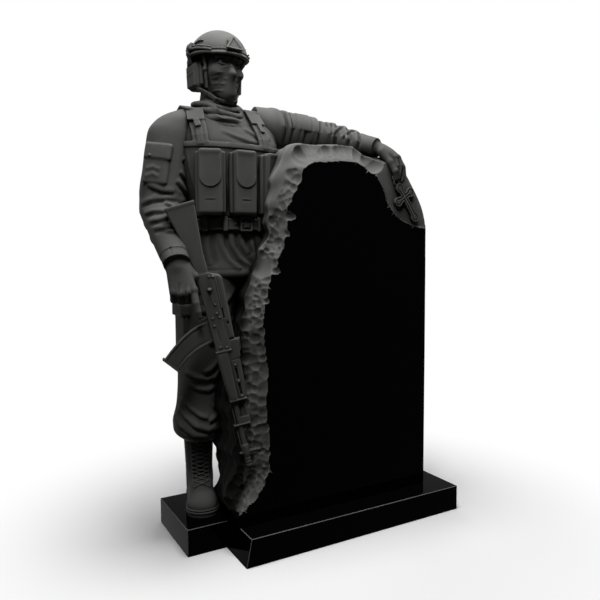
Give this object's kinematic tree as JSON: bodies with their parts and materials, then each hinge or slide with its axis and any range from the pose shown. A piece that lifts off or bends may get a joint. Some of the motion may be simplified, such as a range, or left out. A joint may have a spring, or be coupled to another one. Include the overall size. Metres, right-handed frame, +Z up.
{
  "type": "war memorial headstone stele with carved soldier",
  "caption": "Black granite memorial stele with a chipped rock edge and a life-size soldier carved beside it, on an L-shaped plinth.",
  "frame": {"origin": "centre of the plinth's flat underside", "axes": "+Z up; +X to the right along the front, as seen from the front; +Y from the front to the back"},
  "size_m": [1.2197, 0.503, 1.8935],
  "materials": {
    "carved_granite": "matte",
    "polished_granite": "polished"
  },
  "bodies": {
    "root": {"plinth": "polished_granite", "memorial_stone": "carved_granite"}
  },
  "joints": []
}
